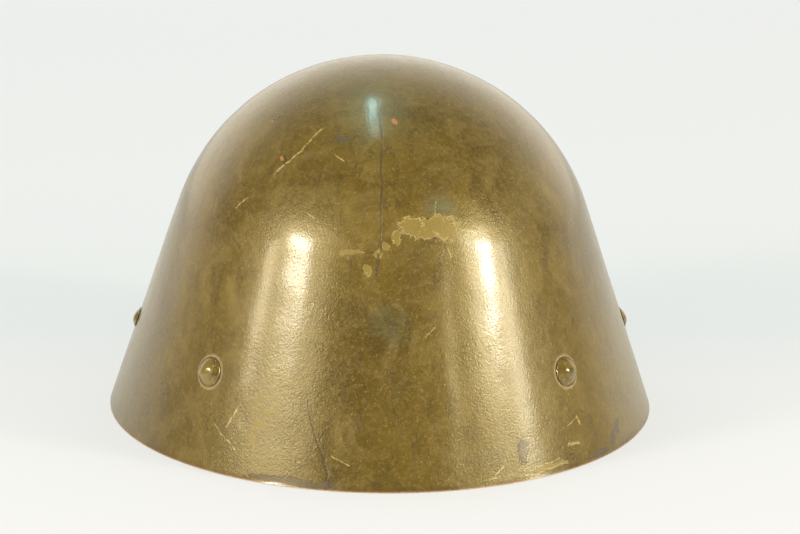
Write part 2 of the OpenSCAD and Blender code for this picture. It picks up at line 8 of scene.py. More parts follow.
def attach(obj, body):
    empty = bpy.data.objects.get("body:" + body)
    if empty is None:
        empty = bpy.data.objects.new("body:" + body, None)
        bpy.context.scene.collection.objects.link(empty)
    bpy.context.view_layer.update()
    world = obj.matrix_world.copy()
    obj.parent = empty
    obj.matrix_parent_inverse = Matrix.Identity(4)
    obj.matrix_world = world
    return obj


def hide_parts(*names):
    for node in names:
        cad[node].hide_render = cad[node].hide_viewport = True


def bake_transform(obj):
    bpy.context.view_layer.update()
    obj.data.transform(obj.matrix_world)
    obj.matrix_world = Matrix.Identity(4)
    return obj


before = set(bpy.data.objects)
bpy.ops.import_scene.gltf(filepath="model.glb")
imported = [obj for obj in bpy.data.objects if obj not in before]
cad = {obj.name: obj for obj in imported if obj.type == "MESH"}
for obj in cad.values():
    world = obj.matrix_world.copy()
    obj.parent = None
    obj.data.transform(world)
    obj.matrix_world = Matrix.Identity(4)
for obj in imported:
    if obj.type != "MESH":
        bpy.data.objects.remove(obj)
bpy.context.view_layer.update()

scene = bpy.context.scene
scene.view_settings.view_transform = "Standard"
print("frame loaded:", len(cad), "nodes")

# small tools

def addMesh(name, points, faces, body="helmet", slot=None, uv=None):
    # one mesh object from an array of points (metres) and a list of faces
    mesh = bpy.data.meshes.new(name)
    mesh.from_pydata(points.tolist(), [], faces)
    mesh.update()
    mesh.polygons.foreach_set("use_smooth", np.ones(len(mesh.polygons), bool))
    if uv is not None:
        corner = np.empty(len(mesh.loops), np.int32)
        mesh.loops.foreach_get("vertex_index", corner)
        layer = mesh.uv_layers.new(name="along")
        layer.data.foreach_set("uv", uv[corner].ravel())
    piece = bpy.data.objects.new(name, mesh)
    scene.collection.objects.link(piece)
    if body:
        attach(piece, body)
    return piece

def gridFaces(rows, columns, closed=True):
    # quads between neighbouring rows; the last column joins the first when closed
    row, column = np.meshgrid(np.arange(rows - 1), np.arange(columns if closed else columns - 1), indexing="ij")
    after = (column + 1) % columns
    return np.stack([row * columns + column, row * columns + after,
                     (row + 1) * columns + after, (row + 1) * columns + column], -1).reshape(-1, 4).tolist()

def closedFaces(rows, columns):
    # a closed grid and two poles, which are the points after it
    faces, last, pole = gridFaces(rows, columns), (rows - 1) * columns, rows * columns
    for a in range(columns):
        b = (a + 1) % columns
        faces += [[b, a, pole], [last + a, last + b, pole + 1]]
    return faces

def smoothRandom(spots, pitch, seed, count=24):
    # a soft random height at points: many plane waves of about one length, added up to a spread near 1
    rng = np.random.default_rng(seed)
    way = unit(rng.normal(size=(count, 3)))
    rate = 2 * np.pi / (pitch * rng.uniform(0.7, 1.6, count))
    wave = np.sin(spots.reshape(-1, 3) @ (way * rate[:, None]).T + rng.uniform(0, 6.3, count))
    return (wave.sum(1) / math.sqrt(count)).reshape(spots.shape[:-1])

def around(count):
    # angles once round
    return np.linspace(0, 2 * np.pi, count, endpoint=False)

def unit(ways):
    return ways / np.linalg.norm(ways, axis=-1, keepdims=True)

def lengthAlong(path):
    # distance from the first point to each point of a path
    return np.r_[0, np.cumsum(np.linalg.norm(np.diff(path, axis=0), axis=1))]

def addNode(near, kind, sockets=None, **settings):
    # a shader node in the tree of near, another node or one's output; a socket takes a value or an output
    tree = near.id_data
    made = tree.nodes.new("ShaderNode" + kind)
    for key, value in settings.items():
        setattr(made, key, value)
    for key, value in (sockets or {}).items():
        if isinstance(value, bpy.types.NodeSocket):
            tree.links.new(value, made.inputs[key])
        else:
            made.inputs[key].default_value = value
    return made

def startPaint(name, **shaderValues):
    # a material with one Principled shader and its even values; gives both, and the Object coordinates
    material = bpy.data.materials.new(name)
    material.use_nodes = True
    tree = material.node_tree
    tree.nodes.clear()
    shader = addNode(tree, "BsdfPrincipled")
    for key, value in shaderValues.items():
        shader.inputs[key.replace("_", " ")].default_value = value
    tree.links.new(shader.outputs[0], addNode(tree, "OutputMaterial").inputs[0])
    return material, shader, objectSpot(shader)

def feed(shader, **made):
    # outputs of nodes go into the shader's sockets
    for key, value in made.items():
        shader.id_data.links.new(value, shader.inputs[key.replace("_", " ")])

def objectSpot(shader, stretch=(1, 1, 1)):
    source = addNode(shader, "TexCoord").outputs["Object"]
    return addNode(shader, "Mapping", {"Vector": source, "Scale": stretch}).outputs[0]

def apart(spot):
    return addNode(spot, "SeparateXYZ", {0: spot}).outputs

def noise(spot, scale, detail=3.0, rough=0.5, bend=0.0):
    sockets = {"Vector": spot, "Scale": scale, "Detail": detail, "Roughness": rough, "Distortion": bend}
    return addNode(spot, "TexNoise", sockets).outputs["Fac"]

def step(value, low, high, first=0.0, last=1.0):
    # straight ramp from first to last while the value goes from low to high
    return addNode(value, "MapRange", dict(enumerate((value, low, high, first, last)))).outputs[0]

def sums(kind, one, *others):
    # arithmetic, the first number always an output
    return addNode(one, "Math", dict(enumerate((one, *others))), operation=kind).outputs[0]

def vectors(kind, one, two=(0, 0, 0), out=0):
    return addNode(one, "VectorMath", {0: one, 1: two}, operation=kind).outputs[out]

def merged(kind, values):
    # all values put together by one kind of arithmetic
    return functools.reduce(functools.partial(sums, kind), values)

def times(*values):
    return merged("MULTIPLY", values)

def moved(value, size, start):
    # start, moved by the value's distance from one half
    return sums("MULTIPLY_ADD", sums("SUBTRACT", value, 0.5), size, start)

def mixed(share, one, two):
    # a colour between one and two
    one, two = (v if isinstance(v, bpy.types.NodeSocket) else (*v, 1.0) for v in (one, two))
    return addNode(share, "Mix", {0: share, 6: one, 7: two}, data_type="RGBA").outputs[2]

def laid(tone, value, low, high, share, colour):
    # a colour laid over tone, up to a share of it, while the value goes from low to high
    return mixed(step(value, low, high, 0.0, share), tone, colour)

def bump(shader, height, distance, strength, under=None, socket="Normal"):
    # a bump for one of the shader's two normals, over another bump if there is one under it
    sockets = {"Height": height, "Distance": distance, "Strength": strength}
    if under is not None:
        sockets["Normal"] = under
    made = addNode(shader, "Bump", sockets).outputs[0]
    feed(shader, **{socket: made})
    return made

def dress(piece, material):
    piece.data.materials.clear()
    piece.data.materials.append(material)

def lookAlong(piece, way, spin):
    # a camera or lamp looks along way, spun about that line (degrees)
    piece.rotation_mode = "QUATERNION"
    piece.rotation_quaternion = way.to_track_quat("-Z", "Y") @ Quaternion((0, 0, 1), math.radians(spin))

# camera, lights and floor

photoView = {
    "lens": 122.1,            # mm on a 36 mm frame, 800 x 534 pixels
    "distance": 1.2,          # from the point aimed at
    "elevation": 13.42,
    "turn": 2.49,             # the helmet's front looks this far to the picture's right
    "roll": 0.62,             # the picture's right side is lower
    "aim": (0.0084, 0.0, 0.0592),
}

def makeCamera(v):
    back, up = math.radians(v["turn"]), math.radians(v["elevation"])
    turned = Quaternion((0, 0, 1), -back)
    aim = turned @ Vector(v["aim"])
    place = aim + turned @ Vector((0, -math.cos(up), math.sin(up))) * v["distance"]
    data = bpy.data.cameras.new("photoCamera")
    data.sensor_width, data.lens = 36.0, v["lens"]
    data.clip_start, data.clip_end = 0.02, 30.0
    camera = bpy.data.objects.new("photoCamera", data)
    scene.collection.objects.link(camera)
    camera.location = place
    lookAlong(camera, aim - place, v["roll"])
    scene.camera = camera

lampCentre = Vector((0, 0, 0.08))   # the lamps look at it
lampPlan = {
    # turn from the front, elevation, distance (m), width, height, power (W), colour, spin
    "leftWindow": (-55, 20.2, 1.7, 0.38, 0.21, 13.5, (1.0, 0.95, 0.82), 0),
    "leftPane": (-71, 13.5, 1.7, 0.16, 0.16, 2.0, (1.0, 0.88, 0.62), 0),
    "leftSoft": (-52, 21, 1.75, 1.0, 0.7, 6.0, (1.0, 0.90, 0.60), 0),
    "rightWindow": (60.2, 17.0, 1.7, 0.15, 0.082, 8.5, (1.0, 0.99, 0.94), 0),
    "rightSoft": (57, 20.5, 1.8, 0.50, 0.42, 11.0, (1.0, 0.91, 0.64), 0),
    "rightBack": (110, 24, 1.8, 0.80, 0.60, 1.2, (1.0, 0.84, 0.36), 0),
    "rightLow": (33.5, 15.5, 1.7, 0.08, 0.14, 0.6, (1.0, 0.90, 0.56), 0),
    "rightFar": (69, 11, 1.7, 0.26, 0.24, 3.2, (1.0, 0.93, 0.72), 0),
    "skyStrip": (188, 67.5, 1.5, 0.05, 0.44, 1.9, (0.52, 0.98, 1.0), -12),
    "skyTail": (200, 80.5, 1.5, 0.08, 0.28, 0.7, (0.60, 0.98, 0.95), -26),
}

def makeLamps(plan):
    for name, (turn, rise, away, wide, high, power, tint, spin) in plan.items():
        a, e = math.radians(turn), math.radians(rise)
        way = Vector((math.sin(a) * math.cos(e), -math.cos(a) * math.cos(e), math.sin(e)))
        data = bpy.data.lights.new(name, "AREA")
        data.shape, data.size, data.size_y = "RECTANGLE", wide, high
        data.energy, data.color = power, tint
        lamp = bpy.data.objects.new(name, data)
        scene.collection.objects.link(lamp)
        lamp.location = way * away + lampCentre
        lookAlong(lamp, -way, spin)

surround = {
    "light": (0.97, 0.985, 1.0), "level": 0.66,   # what lights the matt surfaces
    "roomFront": (0.13, 0.13, 0.12),              # what glossy surfaces show: a dim room in front and above,
    "roomBack": (1.42, 1.35, 1.18),               # a pale one low down at the back
    "backFrom": (0.38, 0.74), "backBelow": (0.90, 0.25),   # where the back begins, backwards and upwards
    "shown": (0.85, 0.87, 0.85),                  # what the camera sees past the floor
    "floor": (0.90, 0.895, 0.88), "floorSize": 6.0, "floorLines": 121,
    "floorLow": 0.0002, "ripple": 0.012, "flatRadius": 0.35,
    "glow": 0.65,                                 # share of the floor's own tone in the picture
    # that tone from front to back: place (m) and colour; its darker band from 0.12 to 0.25 m and its paler far end
    # are painted shade and light, as on a backdrop curving up behind
    "floorToneAndShade": ((-0.30, (0.845, 0.835, 0.82)), (0.03, (0.84, 0.835, 0.825)), (0.12, (0.76, 0.80, 0.785)),
                  (0.25, (0.765, 0.80, 0.785)), (0.50, (0.84, 0.85, 0.835)), (1.25, (0.925, 0.935, 0.915))),
}

def makeSurround(s):
    world = bpy.data.worlds.new("surround")
    scene.world = world
    world.use_nodes = True
    tree = world.node_tree
    tree.nodes.clear()
    light = addNode(tree, "Background", {"Color": (*s["light"], 1), "Strength": s["level"]})
    way = apart(addNode(tree, "TexCoord").outputs["Generated"])
    back = times(step(way[1], *s["backFrom"]), step(way[2], *s["backBelow"]))
    room = addNode(tree, "Background", {"Color": mixed(back, s["roomFront"], s["roomBack"])})
    shown = addNode(tree, "Background", {"Color": (*s["shown"], 1)})
    path = addNode(tree, "LightPath").outputs
    blend = addNode(tree, "MixShader", {0: path["Is Glossy Ray"], 1: light.outputs[0], 2: room.outputs[0]})
    blend = addNode(tree, "MixShader", {0: path["Is Camera Ray"], 1: blend.outputs[0], 2: shown.outputs[0]})
    tree.links.new(blend.outputs[0], addNode(tree, "OutputWorld").inputs[0])

def makeFloor(s):
    # one flat sheet with low, wide ripples that die out under the helmet
    side = np.linspace(-s["floorSize"], s["floorSize"], s["floorLines"])
    x, y = np.meshgrid(side, side)
    far = np.clip((np.hypot(x, y) - s["flatRadius"]) / 2, 0, 1)
    z = -s["floorLow"] - s["ripple"] * far * (1 + np.sin(x * 3.1 + 0.6 * y) * np.cos(y * 2.3 - x * 0.4)) / 2
    floor = addMesh("floorSheet", np.stack([x, y, z], -1).reshape(-1, 3),
                    gridFaces(len(side), len(side), closed=False), body=None)
    material, shader, spot = startPaint("whiteSheet", Roughness=0.85)
    tone = mixed(noise(spot, 3.0, 2), tuple(c * 0.985 for c in s["floor"]), s["floor"])
    feed(shader, Base_Color=tone)
    # most of what the camera sees of the sheet is its own tone, with painted shade and light along it from front to
    # back; the rest keeps the shadow
    low, high = s["floorToneAndShade"][0][0], s["floorToneAndShade"][-1][0]
    ramp = addNode(spot, "ValToRGB", {0: step(apart(spot)[1], low, high)})
    marks = ramp.color_ramp.elements
    for i, (place, colour) in enumerate(s["floorToneAndShade"]):
        mark = marks[i] if i < 2 else marks.new(1.0)
        mark.position = (place - low) / (high - low)
        mark.color = (*colour, 1)
    glow = addNode(ramp, "Emission", {"Color": ramp.outputs[0], "Strength": 1.0})
    share = times(addNode(shader, "LightPath").outputs["Is Camera Ray"], s["glow"])
    output = shader.outputs[0].links[0].to_socket
    blend = addNode(shader, "MixShader", {0: share, 1: shader.outputs[0], 2: glow.outputs[0]})
    shader.id_data.links.new(blend.outputs[0], output)
    dress(floor, material)

makeCamera(photoView)
makeLamps(lampPlan)
makeSurround(surround)
makeFloor(surround)
print("camera, lamps and floor ready")

# the shell

shellShape = {
    "halfWidth": 0.120, "halfLength": 0.140,      # rim, over the sheet
    "crownRadius": 0.094, "crownCentre": 0.0605,  # round part, side to side
    "crownLean": 0.0125,                          # how far the top leans forward
    "sheet": 0.0012, "edgeRound": 0.0003,         # the rim's outer corner is rounded
    "dent": 0.00012,                              # uneven pressing
    "rivetHeight": 0.0375,
    "around": 288, "upOutside": 124, "upInside": 56,
}

def flareAngle(s):
    return math.atan2(s["halfWidth"], s["crownCentre"]) - math.asin(
        s["crownRadius"] / math.hypot(s["halfWidth"], s["crownCentre"]))

def shellSide(s, inset, count, low=0.0):
    # half width and height up the side: a straight flare, then an arc; evenly spaced by length
    flare = flareAngle(s)
    half = s["halfWidth"] - inset / math.cos(flare)
    radius = s["crownRadius"] - inset
    meet = s["crownCentre"] + radius * math.sin(flare)
    straight = (meet - low) / math.cos(flare)
    length = np.linspace(0, straight + radius * (math.pi / 2 - flare), count)
    height = low + length * math.cos(flare)
    climb = flare + np.clip(length - straight, 0, None) / radius
    onArc = length > straight
    across = np.where(onArc, radius * np.cos(climb), half - height * math.tan(flare))
    return across, np.where(onArc, s["crownCentre"] + radius * np.sin(climb), height)

def shellStretch(s, inside):
    # how much longer a face is than wide; a little more inside, as the sheet is as thick all round
    flare = flareAngle(s)
    stretch = s["halfLength"] / s["halfWidth"]
    if not inside:
        return stretch
    along = s["sheet"] * math.sqrt(1 + (stretch * math.tan(flare)) ** 2)
    return (s["halfLength"] - along) / (s["halfWidth"] - s["sheet"] / math.cos(flare))

def shellLean(s):
    return s["crownLean"] / (s["crownCentre"] + s["crownRadius"])

def shellPlace(s, across, height, turn, inside=False):
    # half widths and heights are turned round the shell, stretched front to back and leaned forward with height
    across, height = across[:, None], height[:, None]
    forward = shellStretch(s, inside) * across * np.cos(turn) + shellLean(s) * height
    return np.stack([across * np.sin(turn), -forward, height + 0 * turn], -1)

def sheetPoint(turn, height):
    # a point of the outer face by turn from the front (degrees) and height, with the way out of it
    s = shellShape
    flare, k = flareAngle(s), shellStretch(s, False)
    half = s["halfWidth"] - height * math.tan(flare)
    t = math.radians(turn)
    spot = np.array([half * math.sin(t), -k * half * math.cos(t) - shellLean(s) * height, height])
    way = np.array([k * math.sin(t), -math.cos(t), k * math.tan(flare) - shellLean(s) * math.cos(t)])
    return spot, unit(way)

def makeShell(s):
    # outside up to the top, closed by one point; the cut edge turns in by a quarter round at its outer corner
    turn = around(s["around"])
    edge = s["edgeRound"]
    across, height = shellSide(s, 0.0, s["upOutside"], edge)
    outer = shellPlace(s, across[:-1], height[:-1], turn)
    corner = np.linspace(0, np.pi / 2, 4)[1:]
    bottom = shellPlace(s, across[0] - edge * (1 - np.cos(corner)), edge - edge * np.sin(corner), turn)
    across, height = shellSide(s, s["sheet"], s["upInside"])
    inner = shellPlace(s, across[:-1], height[:-1], turn, True)
    rows = np.concatenate([inner[::-1], bottom[::-1], outer])
    way = unit(np.cross(np.roll(outer, -1, 1) - np.roll(outer, 1, 1), np.gradient(outer, axis=0)))
    hollow = s["dent"] * (0.7 + 0.5 * smoothRandom(outer, 0.05, 3) + 0.2 * smoothRandom(outer, 0.018, 4))
    rows[-len(outer):] -= way * np.clip(hollow, 0, 2 * s["dent"])[..., None]
    lean, top = shellLean(s), s["crownCentre"] + s["crownRadius"]
    points = np.concatenate([rows.reshape(-1, 3), [[0, -lean * (top - s["sheet"]), top - s["sheet"]],
                                                   [0, -lean * top, top - s["dent"]]]])
    piece = addMesh("helmetShell", points, closedFaces(*rows.shape[:2]), slot="shell_paint")
    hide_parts("shell")
    return piece

shellWear = {
    "dark": (0.088, 0.052, 0.0035), "mid": (0.128, 0.080, 0.008), "light": (0.235, 0.160, 0.042),
    "umber": (0.058, 0.036, 0.009), "grey": (0.105, 0.078, 0.050), "bruise": (0.085, 0.060, 0.042),
    "chip": (0.235, 0.160, 0.035), "edge": (0.60, 0.47, 0.19), "bare": (0.50, 0.45, 0.36),
    "stain": (0.110, 0.125, 0.075), "ring": (0.38, 0.275, 0.155), "orange": (0.42, 0.17, 0.06),
    "crackTone": (0.050, 0.034, 0.028), "dust": (0.46, 0.37, 0.19),
    # all places and sizes below are in mm; stains: centre and radius
    "stains": ((-0.4, -119.7, 63.8, 11), (20, -100, 108, 8)),
    # rings of paint round the front rivets: turns (degrees), then fully in from the second to the third radius
    "ringTurns": (43, -43), "ringRadii": (6.1, 6.5, 6.8, 7.8),
    # the big chip is made of ovals: centre and half size, across and up, on the front
    "patch": ((8.6, 101.2, 6, 3.1), (18.5, 101.2, 7.3, 3.5), (23.2, 98.3, 4, 3.2), (1.8, 97.1, 1.7, 2.6),
              (13.3, 98.3, 5.8, 1.8)),
    "smallChips": ((-2.6, 93.8, 1.5, 1.2), (-5.6, 90.8, 1.5, 1.6), (-9.5, 84.6, 1.5, 1.9),
                   (-16.3, 91.2, 4.5, 0.9), (-49.3, 27, 1.6, 2), (-53, 22.5, 2.4, 2.2), (-55.6, 16, 1.1, 2.6),
                   (76, 9.6, 2.6, 0.8), (64, 3.6, 7.5, 0.9)),
    # bare grey-brown places and orange flecks
    "greyChips": ((53.8, 11.6, 1.9, 4.8), (-19, 131.6, 3, 1.1), (97.2, 8.8, 1.3, 3), (94.5, 5.5, 1.2, 2.6),
                  (88, 2.2, 4, 1.6), (-38, 2.2, 18, 1.6)),
    "flecks": ((2.6, 137.7, 1.3, 0.8), (-43.6, 122.7, 0.7, 0.9), (-47.9, 133.8, 0.6, 0.5)),
    # lines on the front: ends as across and up, half width
    "scratches": ((-70.8, 18.2, -62.5, 10.6, 0.34), (-60.6, 28, -66, 18.5, 0.4), (77.7, 19.1, 73.5, 16.4, 0.34),
                  (77.7, 19.1, 79, 16, 0.34), (73.5, 10, 79.3, 9.1, 0.4), (45.4, 7.3, 42, 4, 0.34),
                  (54.5, 1.9, 71.2, 3.1, 0.45), (60, 4.6, 69.5, 5.5, 0.4), (-24, 13.7, -16.7, 10.3, 0.3),
                  (-47, 116.5, -27.4, 134.2, 0.42), (-62.1, 102.2, -58, 106.3, 0.34),
                  (-22.2, 126, -18.5, 124.1, 0.36), (-33.4, 104.6, -31.1, 103.1, 0.34),
                  (38, 2.6, 44.3, 3.1, 0.36), (14, 59, 17, 62.5, 0.34), (26.2, 98.8, 33, 98.2, 0.4),
                  (22.5, 93, 24, 88.5, 0.32), (18.5, 109.5, 18, 105.5, 0.36)),
    "darkLines": ((-3.6, 140, -3.8, 111, 0.42), (-3.8, 111, -4.3, 93.5, 0.34), (-5.2, 90.5, -5.8, 83, 0.65),
                  (-33.5, 33.7, -31, 21.9, 0.34), (-31, 21.9, -27.4, 14, 0.5), (-27.4, 14, -24.8, 2.1, 0.95),
                  (-64.2, 91.1, -60.9, 87.5, 0.36)),
}

def ovalGap(flat, oval):
    # distance from an oval's centre, 1 on its edge
    x, z, wide, high = np.array(oval) / 1000
    away = vectors("DIVIDE", vectors("SUBTRACT", flat, (x, 0, z)), (wide, 1, high))
    return vectors("LENGTH", away, out=1)

def lineGap(flat, line):
    # distance from a line, 1 on its sides
    x1, z1, x2, z2, half = np.array(line) / 1000
    way = Vector((x2 - x1, 0, z2 - z1))
    away = vectors("SUBTRACT", flat, (x1, 0, z1))
    share = sums("DIVIDE", vectors("DOT_PRODUCT", away, way, 1), way.length_squared)
    share = addNode(share, "Clamp", {0: share}).outputs[0]
    along = addNode(share, "VectorMath", {0: way, "Scale": share}, operation="SCALE").outputs[0]
    return sums("DIVIDE", vectors("LENGTH", vectors("SUBTRACT", away, along), out=1), half)

def nearest(gap, flat, marks):
    return merged("MINIMUM", [gap(flat, mark) for mark in marks])

def makeShellPaint(w):
    # worn olive-brown enamel: mottling, streaks and dust, with chips, scratches and cracks at their places in front
    material, shader, spot = startPaint("shellEnamel", IOR=1.5, Specular_IOR_Level=0.8, Coat_Weight=0.50,
                                        Specular_Tint=(1.0, 0.86, 0.50, 1), Coat_Roughness=0.14)
    wide = noise(spot, 15, 5, 0.6, 0.7)
    streaks = noise(objectSpot(shader, (1.0, 1.0, 0.22)), 190, 5, 0.7, 0.6)
    middle = noise(spot, 62, 6, 0.68, 0.9)
    fine = noise(spot, 560, 4, 0.75)
    dust = noise(spot, 1250, 2, 0.6)
    colour = mixed(step(wide, 0.38, 0.62), w["dark"], w["mid"])
    for value, low, high, share, tone in (
            (streaks, 0.48, 0.68, 0.65, "umber"), (middle, 0.48, 0.70, 0.50, "light"),
            (noise(spot, 33, 6, 0.7, 1.3), 0.56, 0.72, 0.35, "grey"), (fine, 0.50, 0.70, 0.45, "light"),
            (dust, 0.64, 0.74, 0.45, "dust"), (noise(spot, 900, 3, 0.7), 0.38, 0.30, 0.8, "crackTone")):
        colour = laid(colour, value, low, high, share, w[tone])
    for stain in w["stains"]:
        *place, size = np.array(stain) / 1000
        stained = step(vectors("DISTANCE", spot, place, 1), size, size * 0.2, 0.0, 0.6)
        colour = mixed(times(stained, step(middle, 0.35, 0.6)), colour, w["stain"])
    # marks are laid on from the front; a ragged noise moves their edges
    place = apart(spot)
    front = step(place[1], -0.005, -0.02)
    flat = addNode(spot, "CombineXYZ", {0: moved(noise(spot, 95, 4), 0.0030, place[0]),
                                        2: moved(noise(spot, 120, 4), 0.0030, place[2])}).outputs[0]
    ragged = sums("SUBTRACT", noise(spot, 330, 5, 0.72, 1.0), 0.5)
    chips = []
    for kind, rough, tone, rim in (("patch", 2.4, "chip", 0.55), ("smallChips", 3.6, "chip", 0.5),
                                   ("greyChips", 2.2, "bruise", 0.0), ("flecks", 1.0, "orange", 0.0)):
        gap = sums("MULTIPLY_ADD", ragged, rough, nearest(ovalGap, flat, w[kind]))
        inside = times(step(gap, 1.05, 0.97), front)
        colour = mixed(times(inside, 0.85), colour, w[tone])
        if rim:
            band = times(step(gap, 0.78, 0.96), step(gap, 1.14, 1.02), front, step(fine, 0.38, 0.56, 0.15, rim))
            colour = mixed(band, colour, w["edge"])
        chips.append(inside)
    deep = merged("MAXIMUM", chips)
    line = times(step(nearest(lineGap, flat, w["scratches"]), 1.1, 0.3), front)
    colour = mixed(times(line, step(fine, 0.42, 0.58, 0.05, 0.62)), colour, w["edge"])
    crack = times(step(nearest(lineGap, flat, w["darkLines"]), 1.25, 0.35), front,
                  step(middle, 0.40, 0.56, 0.30, 0.85))
    colour = mixed(crack, colour, w["crackTone"])
    radii = np.array(w["ringRadii"]) / 1000
    for turn in w["ringTurns"]:
        away = vectors("DISTANCE", spot, sheetPoint(turn, shellShape["rivetHeight"])[0], 1)
        ring = times(step(away, *radii[:2]), step(away, *radii[:1:-1]), step(fine, 0.35, 0.6, 0.45, 0.85))
        colour = mixed(ring, colour, w["ring"])
    # the raw rim: a dark worn line above it, rust and bright metal on it
    rim = moved(middle, 0.004, place[2])
    worn = times(step(rim, 0.0026, 0.0012), step(wide, 0.45, 0.60, 0.15, 0.9), step(fine, 0.38, 0.58, 0.15))
    colour = mixed(worn, colour, w["umber"])
    low = moved(fine, 0.0006, place[2])
    colour = laid(colour, low, 0.0008, 0.0004, 0.55, w["orange"])
    colour = laid(colour, low, 0.0004, 0.0001, 0.8, w["bare"])
    rough = sums("ADD", step(middle, 0.3, 0.7, 0.25, 0.38), step(fine, 0.4, 0.7, 0.0, 0.10))
    feed(shader, Base_Color=colour, Roughness=sums("MULTIPLY_ADD", deep, 0.15, rough))
    under = bump(shader, noise(spot, 300, 4, 0.65), 0.0006, 0.11)
    grain = sums("MULTIPLY_ADD", fine, 0.45, times(dust, 0.7))
    under = bump(shader, grain, 0.00022, 0.85, under)
    bump(shader, times(sums("MAXIMUM", deep, crack), -1.0), 0.00015, 0.8, under)
    # the varnish follows the grain a little, so that bright reflections break up at their edges
    coat = bump(shader, noise(spot, 300, 5, 0.7), 0.0006, 0.04, socket="Coat_Normal")
    bump(shader, grain, 0.00022, 0.13, coat, "Coat_Normal")
    return material

shellPiece = makeShell(shellShape)
dress(shellPiece, makeShellPaint(shellWear))
print("shell made")

# rivets through the shell

shellRivets = {
    # turn from the front, head's diameter and height
    "heads": ((43, 0.012, 0.0035), (89.5, 0.0085, 0.002), (137, 0.012, 0.0035),
              (-43, 0.012, 0.0035), (-89.5, 0.0085, 0.002), (-137, 0.012, 0.0035)),
    "shank": 0.0042, "tail": 0.0066, "tailAt": -0.00361, "tailHigh": 0.0016,
    "knock": 0.00012, "sides": 40,                # worn tops
}

def lathe(profile, sides):
    # (radius, height) pairs turned round Z, from the lower pole to the upper pole
    profile = np.asarray(profile, float)
    turn = around(sides)
    ring = profile[1:-1]
    points = np.stack([ring[:, :1] * np.cos(turn), ring[:, :1] * np.sin(turn),
                       np.repeat(ring[:, 1:], sides, 1)], -1).reshape(-1, 3)
    points = np.vstack([points, [[0, 0, profile[0, 1]], [0, 0, profile[-1, 1]]]])
    return points, closedFaces(len(ring), sides)

def turnedTo(points, origin, way):
    # local Z becomes way, local X lies in the upright plane of way
    across = unit(np.cross((0, 0, 1), way))
    return origin + points[:, :1] * np.cross(across, way) + points[:, 1:2] * across + points[:, 2:] * way

def joined(parts):
    # several (points, faces) put into one pair of lists
    points, faces, start = [], [], 0
    for spots, quads in parts:
        points.append(spots)
        faces += [[corner + start for corner in face] for face in quads]
        start += len(spots)
    return np.vstack(points), faces

def rivetProfile(r, head, dome):
    # head: a dome with a low flange of paint at its foot; the shank ends in a flattened tail
    ball = (head ** 2 + dome ** 2) / (2 * dome)
    rise = np.linspace(math.asin(head / ball), 0, 14)
    cap = np.stack([ball * np.sin(rise), dome - ball + ball * np.cos(rise)], -1)
    cap[-1, 0] = 0
    tail, low, high = r["tail"] / 2, r["tailAt"] - r["tailHigh"], r["tailAt"]
    foot = [(0, low), (tail * 0.8, low), (tail, low + 0.0004), (tail, high - 0.0004), (tail * 0.9, high),
            (r["shank"] / 2, high), (r["shank"] / 2, 0.00002), (head + 0.0001, 0.00004), (head + 0.0003, 0.00012),
            (head + 0.00018, 0.00035)]
    return np.vstack([foot, cap])

def makeShellRivets(r):
    parts = []
    for number, (turn, head, dome) in enumerate(r["heads"]):
        spot, way = sheetPoint(turn, shellShape["rivetHeight"])
        points, faces = lathe(rivetProfile(r, head / 2, dome), r["sides"])
        knock = smoothRandom(points + number, 0.006, 20 + number)
        points[:, 2] -= np.where(points[:, 2] > 0.3 * dome, r["knock"] * (1 + knock), 0)
        parts.append((turnedTo(points, spot, way), faces))
    piece = addMesh("shellRivetHeads", *joined(parts), slot="rivet_paint")
    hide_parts("shell_rivets")
    return piece

def makeRivetPaint():
    # the shell's enamel, glossier on the heads, chipped to grey primer and bare steel, dirt in patches
    material, shader, spot = startPaint("rivetEnamel", IOR=1.5, Specular_IOR_Level=0.8, Coat_Weight=0.5,
                                        Specular_Tint=(1.0, 0.88, 0.58, 1), Coat_Roughness=0.12)
    tone = mixed(step(noise(spot, 210, 3), 0.40, 0.60), (0.105, 0.066, 0.010), (0.19, 0.128, 0.024))
    chip = step(noise(spot, 430, 4, 0.65), 0.62, 0.68, 0.0, 0.7)
    tone = mixed(chip, tone, (0.30, 0.265, 0.19))
    tone = laid(tone, noise(spot, 700, 3, 0.6), 0.58, 0.68, 0.6, (0.045, 0.030, 0.012))
    feed(shader, Base_Color=tone, Roughness=step(chip, 0, 1, 0.22, 0.5))
    bump(shader, sums("SUBTRACT", noise(spot, 300, 3), chip), 0.0003, 0.6)
    return material

dress(makeShellRivets(shellRivets), makeRivetPaint())
print("shell rivets made")

# leather and cloth sheets

def holedStrip(length, half, holes, pitch, across, rings=4):
    # flat strip from 0 to length: a grid, with a block of rings round each hole, from its oval to the block's edge
    # a hole is its place, half length, half width and its block's half length; points are (along, across)
    side = np.linspace(-half, half, across + 1)
    parts, low = [], 0.0
    for hole in sorted(holes) + [None]:
        reach = length if hole is None else hole[0] - hole[3]
        count = max(1, int(round((reach - low) / pitch))) + 1
        if reach - low > 1e-7:
            a, b = np.meshgrid(np.linspace(low, reach, count), side, indexing="ij")
            parts.append((np.stack([a, b], -1).reshape(-1, 2), gridFaces(count, across + 1, closed=False)))
        if hole is None:
            break
        middle, alongHalf, acrossHalf, block = hole
        far = middle + block
        level = np.linspace(middle - block, far, 9)
        runs = (level[:-1], -half), (far, side[:-1]), (level[:0:-1], half), (middle - block, side[:0:-1])
        edge = np.vstack([np.stack(np.broadcast_arrays(*run), -1) for run in runs])
        way = np.arctan2(edge[:, 1] / half, (edge[:, 0] - middle) / block)
        bulge = 0.5 if alongHalf > 2 * acrossHalf else 1.0
        way = np.stack([np.cos(way), np.sin(way)], -1)
        hollow = np.array([middle, 0]) + np.array([alongHalf, acrossHalf]) * np.sign(way) * np.abs(way) ** bulge
        share = np.linspace(0, 1, rings + 1)[:, None, None] ** 1.3
        spots = hollow + (edge - hollow) * share
        parts.append((spots.reshape(-1, 2), gridFaces(rings + 1, len(edge))))
        low = far
    return joined(parts)

